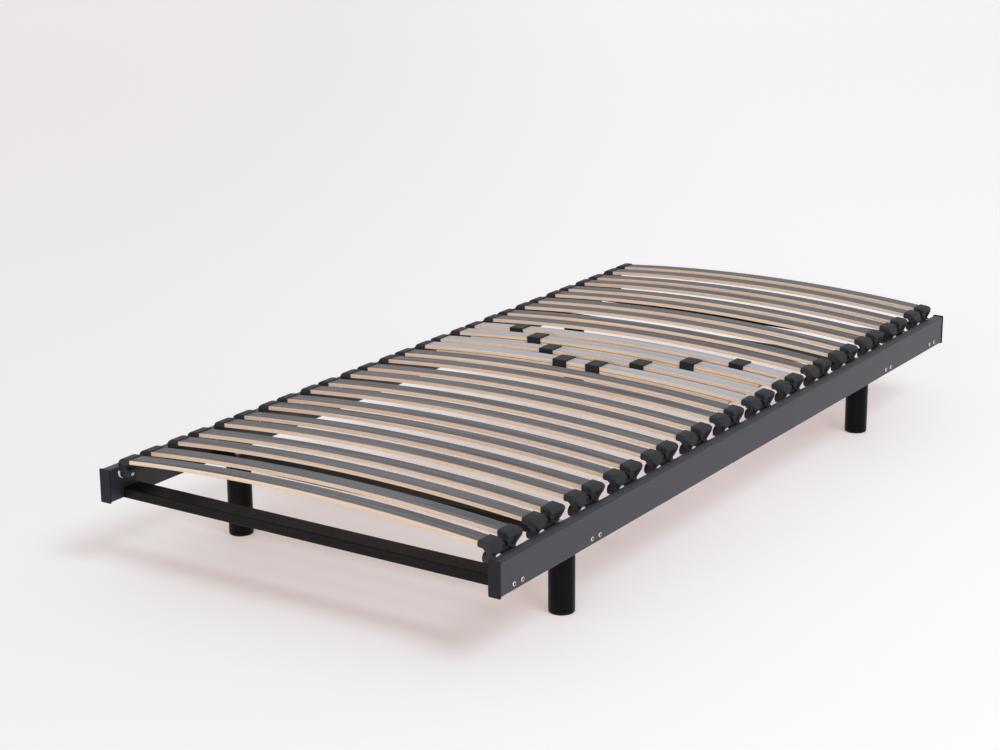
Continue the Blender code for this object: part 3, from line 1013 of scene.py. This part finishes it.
@dataclass
class Leg:
    """A round leg with its foot glide, and the stud and nut that hold it on its bar."""

    label: str
    wall: float = 0.0018
    top_plate: float = 0.004
    gap: float = 0.0003
    glide_height: float = 0.0060
    glide_plug: float = 0.009
    glide_rim: float = 0.0085
    edge: float = 0.0022
    stud_radius: float = 0.004
    nut_radius: float = 0.0075
    nut_height: float = 0.0065
    washer: float = 0.0013
    stud_end: float = 0.0015
    sides: int = 72

    def __post_init__(self) -> None:
        """Read the leg's box and its bar's top."""
        self.node = f"leg_{self.label}"
        low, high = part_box(self.node)
        self.centre = Vector(((low.x + high.x) / 2, (low.y + high.y) / 2, 0))
        self.radius = (high.x - low.x) / 2
        bar_low, bar_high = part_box("cross_bar_2")
        self.top = bar_low.z - self.gap
        self.bar_top = bar_high.z + self.gap

    def tube(self) -> bpy.types.Mesh:
        """The leg's tube, closed on top.

        Returns:
            The mesh.
        """
        shape = Shape()
        inner = self.radius - self.wall
        base = self.glide_height
        shape.turned([
            (0, self.top), (self.radius - self.edge, self.top),
            (self.radius - self.edge * 0.3, self.top - self.edge * 0.3),
            (self.radius, self.top - self.edge), (self.radius, base + 0.0004),
            (self.radius - 0.0004, base), (inner, base),
            (inner, self.top - self.top_plate), (0, self.top - self.top_plate),
        ], self.sides, Axis.Z)
        return shape.mesh("leg_tube", LEG_COAT)

    def glide(self) -> bpy.types.Mesh:
        """The foot glide pushed into the tube's lower end.

        Returns:
            The mesh.
        """
        shape = Shape()
        outer = self.radius - self.gap
        height = self.glide_height - 0.0002
        plug = self.radius - self.wall - self.gap
        plug_top = height + self.glide_plug
        hollow = self.radius - self.glide_rim
        shape.turned([
            (0, plug_top), (plug - 0.001, plug_top), (plug, plug_top - 0.001), (plug, height),
            (outer - 0.0003, height), (outer, height - 0.0004), (outer, 0.0022),
            (outer - 0.0007, 0.0007), (outer - 0.0022, 0), (hollow, 0), (hollow - 0.001, 0.0012),
            (hollow - 0.001, height), (0, height),
        ], self.sides, Axis.Z)
        return shape.mesh("leg_glide", GLIDE_PLASTIC)

    def nut(self) -> bpy.types.Mesh:
        """The stud's end with its domed six-sided nut and washer, above the bar.

        Returns:
            The mesh.
        """
        shape = Shape()
        base = self.bar_top
        seat = base + self.washer
        top = base + self.nut_height
        rim = self.nut_radius + 0.0015
        shape.turned([(0, base), (rim, base), (rim, seat - 0.0002), (self.nut_radius, seat),
                      (0, seat)], 40, Axis.Z)
        hexagon = [(self.nut_radius * math.cos(math.pi * k / 3 + 0.3),
                    self.nut_radius * math.sin(math.pi * k / 3 + 0.3)) for k in range(6)]
        shape.loft([shape.ring([(x * k, y * k) for x, y in hexagon], Axis.Z, z)
                    for k, z in ((0.99, seat), (1.0, seat + 0.0004), (1.0, top - 0.0009),
                                 (0.90, top))])
        shape.turned([(0, top - 0.0005), (self.stud_radius, top - 0.0005),
                      (self.stud_radius, top + self.stud_end - 0.0005),
                      (self.stud_radius - 0.0005, top + self.stud_end),
                      (0, top + self.stud_end)], 32, Axis.Z)
        return shape.mesh("leg_nut", PIN_ZINC)

    def build(self) -> None:
        """Make the leg's pieces."""
        for part, mesh in (("tube", self.tube()), ("glide", self.glide()), ("nut", self.nut())):
            add_piece(f"leg_{self.label}_{part}", mesh, "frame", "leg_paint", self.node,
                      self.centre)


# ---- the slat modules ---------------------------------------------------------------------


@dataclass
class Arc:
    """The bow that all slats share, in the plane across the bed."""

    radius: float = 4.4
    facet_drop: float = 0.0004

    def __post_init__(self) -> None:
        """Find the bow's centre from a module's highest point."""
        self.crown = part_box("slat_pair_01")[1].z + self.facet_drop
        self.centre_z = self.crown - self.radius

    def top(self, x: float) -> float:
        """Height of a slat's top face at x."""
        return self.centre_z + math.sqrt(self.radius ** 2 - x ** 2)

    def point(self, along: float, depth: float) -> tuple[float, float]:
        """X and Z of a point in a slat.

        Args:
            along: distance along the top face from mid span.
            depth: distance below the top face.

        Returns:
            X and Z.
        """
        angle = along / self.radius
        reach = self.radius - depth
        return reach * math.sin(angle), self.centre_z + reach * math.cos(angle)


@dataclass
class Slat:
    """One bowed board: foil on its faces, laminated wood at its edges."""

    arc: Arc
    centre_y: float
    half_length: float
    foil: Finish
    seed: int
    drop: float = 0.0
    width: float = 0.035
    thickness: float = 0.008
    edge: float = 0.0007
    stations: int = 64
    grain_steps: tuple[float, float, float] = (1.37, 0.113, 0.0026)
    grain_depths: int = 7

    def mesh(self, name: str) -> bpy.types.Mesh:
        """The board in place, with its board coordinates.

        Args:
            name: mesh name.

        Returns:
            The mesh.
        """
        shape = Shape()
        layer = shape.bm.verts.layers.float_vector.new(GRAIN)
        outline = round_rectangle(self.width, self.thickness, self.edge, 2)
        step_along, step_across, step_depth = self.grain_steps
        deeper = (self.seed % self.grain_depths) * step_depth
        reach = self.arc.radius * math.asin(self.half_length / self.arc.radius)
        rings = []
        for step in range(self.stations + 1):
            along = reach * (2 * step / self.stations - 1)
            ring = []
            for across, up in outline:
                depth = self.thickness / 2 - up
                x, z = self.arc.point(along, depth + self.drop)
                vert = shape.bm.verts.new((x, self.centre_y + across, z))
                vert[layer] = (along + self.seed * step_along, across + self.seed * step_across,
                               depth + deeper)
                ring.append(vert)
            rings.append(ring)
        shape.loft(rings)
        for face in shape.bm.faces:
            ups = [abs(vert[layer].z - deeper - self.thickness / 2) for vert in face.verts]
            on_face = min(ups) > self.thickness / 2 - 1e-6 and len(face.verts) == 4
            face.material_index = 0 if on_face else 1
        return shape.mesh(name, self.foil, EDGE_WOOD)


@dataclass
class Slider:
    """A firmness slider: a clip that wraps both layers of a doubled slat."""

    node: str
    arc: Arc
    stack: float = 0.017
    wall: float = 0.0025
    clearance: float = 0.0006
    slat_width: float = 0.035
    length: float = 0.034
    corner: float = 0.0016
    slot_corner: float = 0.0005
    edge: float = 0.0006

    def __post_init__(self) -> None:
        """Find where along the bow the slider stands."""
        low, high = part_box(self.node)
        self.centre_y = (low.y + high.y) / 2
        self.angle = math.asin((low.x + high.x) / 2 / (self.arc.radius - self.stack / 2))

    def mesh(self) -> bpy.types.Mesh:
        """The clip, with its origin at the bow's centre.

        Returns:
            The mesh.
        """
        shape = Shape()
        middle = self.arc.radius - self.stack / 2
        slot = (self.slat_width + 2 * self.clearance, self.stack + 2 * self.clearance)
        width, height = (size + 2 * self.wall for size in slot)
        half, edge = self.length / 2, self.edge

        def outer(x: float, loss: float) -> list[Any]:
            """A ring of the outside."""
            points = round_rectangle(width - 2 * loss, height - 2 * loss, self.corner, 4)
            return shape.ring([(p.x, p.y + middle) for p in points], Axis.X, x)

        def inner(x: float, gain: float) -> list[Any]:
            """A ring of the slot."""
            points = round_rectangle(slot[0] + 2 * gain, slot[1] + 2 * gain, self.slot_corner, 4)
            return shape.ring([(p.x, p.y + middle) for p in points], Axis.X, x)

        rings = [outer(-half + edge, 0), outer(half - edge, 0), outer(half - edge * 0.3, edge * 0.3),
                 outer(half, edge), inner(half, edge * 0.5), inner(half - edge * 0.5, 0),
                 inner(-half + edge * 0.5, 0), inner(-half, edge * 0.5), outer(-half, edge),
                 outer(-half + edge * 0.3, edge * 0.3)]
        for low, high in zip(rings, rings[1:] + rings[:1]):
            shape.skin(low, high)
        return shape.mesh("slider_clip", SLIDER_PLASTIC)

    def build(self) -> None:
        """Make the slider."""
        stand = Matrix.Translation((0, self.centre_y, self.arc.centre_z))
        add_piece(f"{self.node}_clip", self.mesh(), self.node, "slider_moulding", self.node,
                  stand @ Matrix.Rotation(self.angle, 4, "Y"), flat_sides=True)


@dataclass
class HolderMould:
    """The twin holder's shapes for the right-hand side, from its pin at the rail's inner face.

    X points out to the rail, Y to the far end and Z up, all from the pin's axis.
    """

    arc: Arc
    pin_z: float
    inner_face: float
    slat_offsets: tuple[float, float]
    inner_x: float = -0.0350
    outer_x: float = -0.0085
    half_cap: float = 0.0205
    roof: float = 0.0022
    floor: float = 0.0030
    hub_radius: float = 0.0105
    hub_end: float = -0.030
    bush_radius: float = 0.0115
    bush_thickness: float = 0.0060
    pin_radius: float = 0.0042
    slat_gap: float = 0.0005
    voxel: float = 0.0006
    smoothing: int = 5
    faces: int = 9000
    sharp_angle: float = 48.0

    def __post_init__(self) -> None:
        """Work out the cap's levels."""
        self.mid_x = (self.inner_x + self.outer_x) / 2
        self.slope = (self.inner_face + self.mid_x) / self.arc.radius
        top = self.arc.top(self.inner_face + self.mid_x) - self.pin_z
        self.slat_top = top
        self.cap_top = top + self.roof
        self.cap_low = top - Slat.thickness - self.floor

    def _lean(self, shape: Shape) -> None:
        """Lean a shape to the slat's slope."""
        for vert in shape.bm.verts:
            vert.co.z -= self.slope * (vert.co.x - self.mid_x)

    def _cap(self, centre: float, radius: float, *stations: tuple[float, ...]) -> Shape:
        """One slat cap, lofted along X.

        Args:
            centre: the slat's middle along Y.
            radius: corner radius of the section.
            stations: (x, side loss, lift of the underside, loss of the top) rows.

        Returns:
            The solid.
        """
        shape = Shape()
        rings = []
        for x, side, lift, loss in stations:
            low, high = self.cap_low + lift, self.cap_top - loss
            height = high - low
            corner = min(radius, height * 0.45)
            section = round_rectangle(2 * (self.half_cap - side), height, corner, 4)
            rings.append(shape.ring(
                [(centre + p.x, (low + high) / 2 + p.y) for p in section], Axis.X, x))
        shape.loft(rings)
        self._lean(shape)
        return shape

    def _strut(self, *levels: tuple[float, ...]) -> Shape:
        """An upright web.

        Args:
            levels: (z, x low, x high, y low, y high) rows from the lowest up.

        Returns:
            The solid.
        """
        shape = Shape()
        shape.loft([shape.ring([(x0, y0), (x1, y0), (x1, y1), (x0, y1)], Axis.Z, z)
                    for z, x0, x1, y0, y1 in levels])
        return shape

    def _caps(self) -> list[Shape]:
        """The caps over the front and rear slat's ends.

        Returns:
            One solid for each.
        """
        front, rear = self.slat_offsets
        inner, outer = self.inner_x, self.outer_x
        return [
            self._cap(
                front, 0.0040,
                (inner, 0.0012, 0.0008, 0.0012), (inner + 0.0012, 0.0, 0.0, 0.0),
                (outer - 0.0085, 0.0, 0.0, 0.0), (outer - 0.0050, 0.0002, 0.0006, 0.0007),
                (outer - 0.0026, 0.0008, 0.0016, 0.0020), (outer - 0.0009, 0.0020, 0.0030, 0.0040),
                (outer, 0.0036, 0.0044, 0.0062)),
            self._cap(
                rear, 0.0030,
                (inner, 0.0009, 0.0006, 0.0009), (inner + 0.0009, 0.0, 0.0, 0.0),
                (outer - 0.0100, 0.0, 0.0, 0.0), (outer - 0.0055, -0.0008, 0.0004, 0.0006),
                (outer - 0.0025, -0.0018, 0.0012, 0.0020), (outer - 0.0006, -0.0016, 0.0024, 0.0040),
                (outer + 0.0004, 0.0004, 0.0040, 0.0060)),
        ]

    def _bridge(self) -> Shape:
        """The strap that joins the two caps.

        Returns:
            The solid.
        """
        shape = Shape()
        front, rear = self.slat_offsets
        shape.block((self.inner_x + 0.0040, front + 0.012, self.cap_low + 0.0004),
                    (self.outer_x - 0.0100, rear - 0.012, self.cap_low + 0.0050), 0.0012, 2)
        self._lean(shape)
        return shape

    def _front_webs(self) -> list[Shape]:
        """The stem that rises from the hub to the front cap, and the cheek that faces the rail.

        Returns:
            One solid for each.
        """
        low = self.cap_low
        return [
            self._strut(
                (-0.0020, -0.0215, -0.0085, -0.0070, 0.0080),
                (0.0080, -0.0215, -0.0085, -0.0090, 0.0260),
                (0.0114, -0.0220, -0.0085, -0.0100, 0.0345),
                (0.0150, -0.0235, -0.0085, -0.0115, 0.0310),
                (low + 0.0030, -0.0270, -0.0085, -0.0150, 0.0290)),
            self._strut(
                (0.0116, -0.0200, -0.0022, -0.0068, 0.0092),
                (0.0150, -0.0200, -0.0034, -0.0098, 0.0140),
                (0.0190, -0.0220, -0.0056, -0.0130, 0.0180),
                (0.0230, -0.0240, -0.0080, -0.0150, 0.0205),
                (low + 0.0085, -0.0260, -0.0100, -0.0150, 0.0210)),
        ]

    def _rear_webs(self) -> list[Shape]:
        """The webs, foot plate, thin ribs and outer brace under the rear cap.

        Returns:
            One solid for each.
        """
        low = self.cap_low
        ribs = [
            self._strut(
                (0.0036, -0.0180, -0.0072, y - 0.0008, y + 0.0010),
                (0.0110, -0.0180, -0.0074, y + lean * 0.4, y + lean * 0.4 + 0.0018),
                (low + 0.0020, -0.0180, -0.0086, y + lean, y + lean + 0.0018))
            for y, lean in ((0.0480, 0.0100), (0.0530, 0.0150))
        ]
        return [
            self._strut(
                (0.0078, -0.0148, -0.0090, 0.0400, 0.0462),
                (0.0120, -0.0190, -0.0082, 0.0388, 0.0492),
                (0.0170, -0.0230, -0.0078, 0.0372, 0.0528),
                (low + 0.0030, -0.0285, -0.0085, 0.0352, 0.0568)),
            self._strut(
                (0.0036, -0.0205, -0.0150, 0.0400, 0.0520),
                (0.0100, -0.0225, -0.0150, 0.0430, 0.0590),
                (low + 0.0020, -0.0290, -0.0150, 0.0452, 0.0820)),
            self._strut(
                (-0.0012, -0.0205, -0.0070, 0.0000, 0.0500),
                (0.0104, -0.0205, -0.0070, 0.0000, 0.0480)),
            *ribs,
            self._strut(
                (0.0020, -0.0200, -0.0060, 0.0490, 0.0532),
                (0.0105, -0.0200, -0.0058, 0.0560, 0.0610),
                (0.0150, -0.0200, -0.0056, 0.0640, 0.0695),
                (0.0190, -0.0200, -0.0064, 0.0725, 0.0790),
                (low + 0.0030, -0.0200, -0.0082, 0.0790, 0.0852)),
        ]

    def _toe(self) -> Shape:
        """The toe that rests on the rail's top edge.

        Returns:
            The solid.
        """
        shape = Shape()
        shape.block((self.outer_x - 0.0050, 0.0382, 0.0107), (0.0036, 0.0458, 0.0136), 0.0009, 2)
        return shape

    def _hood(self) -> Shape:
        """The curved lip over the bush.

        Returns:
            The solid.
        """
        shape = Shape()
        angles = [math.radians(turn) for turn in range(-62, 61, 6)]
        within = self.bush_radius - 0.0004
        rings = []
        for x, swell in ((-self.bush_thickness - 0.0012, 0.0), (-0.0034, 0.0), (-0.0026, -0.0005)):
            reach = self.bush_radius + 0.0016 + swell
            rings.append(shape.ring(
                [(radius * math.sin(angle), radius * math.cos(angle))
                 for radius, turns in ((reach, angles), (within, angles[::-1]))
                 for angle in turns], Axis.X, x))
        shape.loft(rings)
        return shape

    def _hub(self) -> Shape:
        """The round hub that the pin runs through.

        Returns:
            The solid.
        """
        shape = Shape()
        radius, end, seat = self.hub_radius, self.hub_end, -self.bush_thickness - 0.0005
        shape.turned([(0, end), (radius - 0.0012, end), (radius - 0.0003, end + 0.0004),
                      (radius, end + 0.0014), (radius, seat), (0, seat)], 48, Axis.X)
        return shape

    def _joined(self) -> bpy.types.Mesh:
        """The overlapping solids of the moulding in one mesh.

        Returns:
            The mesh.
        """
        whole = Shape()
        for solid in (*self._caps(), self._bridge(), *self._front_webs(), *self._rear_webs(),
                      self._toe(), self._hood(), self._hub()):
            part = solid.mesh("solid")
            whole.bm.from_mesh(part)
            bpy.data.meshes.remove(part)
        return whole.mesh("holder_raw")

    def moulding(self) -> bpy.types.Mesh:
        """The rubber moulding, with soft fillets and the two slat pockets cut into it.

        Returns:
            The mesh.
        """
        work = bpy.data.objects.new("holder_work", self._joined())
        bpy.context.scene.collection.objects.link(work)
        remesh = work.modifiers.new("fuse", "REMESH")
        remesh.mode = "VOXEL"
        remesh.voxel_size = self.voxel
        remesh.adaptivity = 0.0
        smooth = work.modifiers.new("fillet", "SMOOTH")
        smooth.factor = 0.5
        smooth.iterations = self.smoothing
        graph = bpy.context.evaluated_depsgraph_get()
        count = len(work.evaluated_get(graph).data.polygons)
        thin = work.modifiers.new("thin", "DECIMATE")
        thin.ratio = min(1.0, self.faces / (2 * count))
        pockets = bpy.data.objects.new("holder_pockets", self._pockets())
        bpy.context.scene.collection.objects.link(pockets)
        cut = work.modifiers.new("cut", "BOOLEAN")
        cut.operation = "DIFFERENCE"
        cut.solver = "EXACT"
        cut.object = pockets
        graph = bpy.context.evaluated_depsgraph_get()
        made = bpy.data.meshes.new_from_object(work.evaluated_get(graph))
        for leftover in (work, pockets):
            bpy.data.objects.remove(leftover)
        made.name = "holder_moulding"
        made.materials.clear()
        made.materials.append(HOLDER_RUBBER.material())
        made.shade_smooth()
        made.set_sharp_from_angle(angle=math.radians(self.sharp_angle))
        LOG.info("holder moulding has %d faces", len(made.polygons))
        return made

    def _pockets(self) -> bpy.types.Mesh:
        """Boxes for the two slats' ends.

        Returns:
            The mesh.
        """
        shape = Shape()
        half = Slat.width / 2 + self.slat_gap
        low = self.slat_top - Slat.thickness - self.slat_gap
        high = self.slat_top + self.slat_gap
        for centre in self.slat_offsets:
            near, far = centre - half, centre + half
            shape.prism([(near, low), (far, low), (far, high), (near, high)],
                        Axis.X, self.inner_x - 0.01, self.outer_x - 0.0040)
        self._lean(shape)
        return shape.mesh("holder_pockets")

    def bush(self) -> bpy.types.Mesh:
        """The nylon disc between the holder and the rail.

        Returns:
            The mesh.
        """
        shape = Shape()
        outer, thick = self.bush_radius, self.bush_thickness
        neck = outer - 0.0020
        shape.turned([(0, -thick), (outer - 0.0009, -thick), (outer - 0.0003, -thick + 0.0003),
                      (outer, -thick + 0.0009), (outer, -0.0034), (outer - 0.0003, -0.0031),
                      (neck, -0.0031), (neck, -0.0009), (neck - 0.0006, -0.0003),
                      (0, -0.0003)], 64, Axis.X)
        return shape.mesh("holder_bush", BUSH_NYLON)

    def pin(self) -> bpy.types.Mesh:
        """The pin's shiny end in the hub.

        Returns:
            The mesh.
        """
        shape = Shape()
        radius, end = self.pin_radius, self.hub_end
        shape.turned([(0, end - 0.0010), (radius * 0.35, end - 0.00098), (radius * 0.7, end - 0.0008),
                      (radius - 0.0005, end - 0.0004), (radius, end), (radius, end + 0.0012),
                      (0, end + 0.0012)], 40, Axis.X)
        return shape.mesh("holder_pin", PIN_ZINC)


@dataclass
class SlatModules:
    """All rocking modules: their slats, twin holders and firmness sliders."""

    layer_gap: float = 0.0010
    lower_half_length: float = 0.365

    def __post_init__(self) -> None:
        """Collect the modules' pins from the joints."""
        self.arc = Arc()
        self.pins = {
            joint["child"].split("_")[1]: Vector(joint["pos_m"])
            for joint in frame["joints"] if joint["child"].startswith("rocker_")
        }
        self.firm = {node.split("_")[1] for node in frame["nodes"] if node.startswith("slider_")}

    def mould(self) -> HolderMould:
        """The twin holder's mould, from the first module.

        Returns:
            The mould.
        """
        low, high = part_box("slat_pair_01")
        pin = self.pins["01"]
        half = Slat.width / 2
        offsets = (low.y + half - pin.y, high.y - half - pin.y)
        inner_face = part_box("side_rail_right")[0].x + SideRail.cap_lip
        return HolderMould(self.arc, pin.z, inner_face, offsets)

    def holders(self) -> None:
        """Make the holders, bushes and pins of every module."""
        mould = self.mould()
        parts = (("moulding", mould.moulding()), ("bush", mould.bush()), ("pin", mould.pin()))
        for side in Side:
            sided = [(part, mesh if side is Side.RIGHT else mirrored(mesh)) for part, mesh in parts]
            for label, pin in self.pins.items():
                node = f"holder_{side.name.lower()}_{label}"
                for part, mesh in sided:
                    add_piece(f"{node}_{part}", mesh, f"rocker_{label}", "holder_moulding", node,
                              (side.value * mould.inner_face, pin.y, pin.z))

    def slats(self) -> None:
        """Make every module's boards."""
        for number, label in enumerate(self.pins):
            node = f"slat_pair_{label}"
            low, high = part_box(node)
            half = Slat.width / 2
            firm = label in self.firm
            foil, slot = (PALE_FOIL, "pale_slat") if firm else (GREY_FOIL, "grey_slat")
            for row, y in (("front", low.y + half), ("rear", high.y - half)):
                seed = 2 * number + (row == "rear")
                board = Slat(self.arc, y, high.x, foil, seed)
                add_piece(f"slat_{label}_{row}", board.mesh(f"slat_{label}_{row}"),
                          f"rocker_{label}", slot, node, flat_sides=True)
                if firm:
                    name = f"slat_{label}_{row}_lower"
                    lower = Slat(self.arc, y, self.lower_half_length, foil, seed + 40,
                                 Slat.thickness + self.layer_gap)
                    add_piece(name, lower.mesh(name), f"rocker_{label}", slot, node,
                              flat_sides=True)

    def sliders(self) -> None:
        """Make every slider."""
        for node in sorted(frame["nodes"]):
            if node.startswith("slider_"):
                Slider(node, self.arc).build()

    def build(self) -> None:
        """Make all modules."""
        self.holders()
        self.slats()
        self.sliders()


# ---- studio -------------------------------------------------------------------------------


@dataclass
class Studio:
    """Pale floor, soft lights and the camera."""

    floor_size: float = 60.0
    camera_place: Point = (2.3109, -3.7383, 1.5171)
    yaw: float = 33.6335
    pitch: float = 16.3036
    roll: float = -0.4112
    lens: float = 77.6
    sensor: float = 36.0
    horizon: tuple[float, float] = (0.05, 0.75)
    cool_light: Colour = (0.90, 0.98, 1.0)
    high_light: Colour = (0.96, 0.98, 1.0)
    low_light: Colour = (1.0, 0.92, 0.89)
    high_level: float = 0.22
    low_level: float = 0.62

    def floor(self) -> None:
        """Lay the floor."""
        shape = Shape()
        half = self.floor_size / 2
        shape.block((-half, -half, -0.02), (half, half, -0.0002), 0.005, 2)
        piece = bpy.data.objects.new("studio_floor", shape.mesh("studio_floor", PAPER))
        bpy.context.scene.collection.objects.link(piece)

    def lamp(self, name: str, place: Point, aim: Point, size: tuple[float, float],
             power: float, colour: Colour = (1, 1, 1)) -> None:
        """Hang a soft rectangular lamp.

        Args:
            name: lamp name.
            place: where it hangs.
            aim: point it faces.
            size: its width and height.
            power: watts.
            colour: its tint.
        """
        data = bpy.data.lights.new(name, "AREA")
        data.shape = "RECTANGLE"
        data.size, data.size_y = size
        data.energy = power
        data.color = colour
        lamp = bpy.data.objects.new(name, data)
        lamp.location = place
        direction = Vector(aim) - Vector(place)
        lamp.rotation_euler = direction.to_track_quat("-Z", "Y").to_euler()
        bpy.context.scene.collection.objects.link(lamp)

    def room(self) -> None:
        """Light the room evenly, with a brighter warm horizon."""
        room = bpy.data.worlds.new("studio_room")
        bench = Bench(room)
        source = bench.node("ShaderNodeTexCoord")
        ray = Wire(bench, source.outputs["Generated"])
        level = 1 - bench.band(bench.axis_of(ray, Axis.Z), *self.horizon)
        bench.feed(bench.shader.inputs["Color"],
                   bench.mix(level, self.high_light, self.low_light))
        bench.feed(bench.shader.inputs["Strength"], self.high_level + level * self.low_level)
        bpy.context.scene.world = room

    def camera(self) -> None:
        """Stand the camera."""
        yaw, pitch, roll = (math.radians(a) for a in (self.yaw, self.pitch, self.roll))
        ahead = Vector((-math.sin(yaw) * math.cos(pitch), math.cos(yaw) * math.cos(pitch),
                        -math.sin(pitch)))
        right = ahead.cross(Vector((0, 0, 1))).normalized()
        up = right.cross(ahead)
        turned_right = math.cos(roll) * right + math.sin(roll) * up
        turned_up = math.cos(roll) * up - math.sin(roll) * right
        data = bpy.data.cameras.new("studio_camera")
        data.lens = self.lens
        data.sensor_width = self.sensor
        data.clip_end = 200.0
        camera = bpy.data.objects.new("studio_camera", data)
        camera.matrix_world = Matrix.Translation(self.camera_place) @ Matrix(
            (turned_right, turned_up, -ahead)).transposed().to_4x4()
        bpy.context.scene.collection.objects.link(camera)
        bpy.context.scene.camera = camera

    def build(self) -> None:
        """Make the studio."""
        self.floor()
        self.room()
        self.lamp("overhead_softbox", (-3.5, 6.5, 8.0), (-3.5, 6.5, 0.0), (26.0, 26.0), 560,
                  self.cool_light)
        self.lamp("key_softbox", (8.0, -3.0, 9.5), (0.0, 0.0, 0.0), (4.5, 4.5), 560,
                  self.cool_light)
        self.lamp("front_softbox", (0.5, -9.0, 3.0), (0.0, 0.0, 0.2), (6.0, 2.6), 210)
        view = bpy.context.scene.view_settings
        view.view_transform = "Standard"
        view.look = "None"
        self.camera()


def main() -> None:
    """Build the bed base and its studio."""
    logging.basicConfig(level=logging.INFO, format="%(message)s")
    for side in Side:
        SideRail(side).build()
    for number in range(1, 5):
        CrossBar(number).build()
    for label in ("near_left", "near_right", "far_left", "far_right"):
        Leg(label).build()
    SlatModules().build()
    Studio().build()


if __name__ == "__main__":
    main()
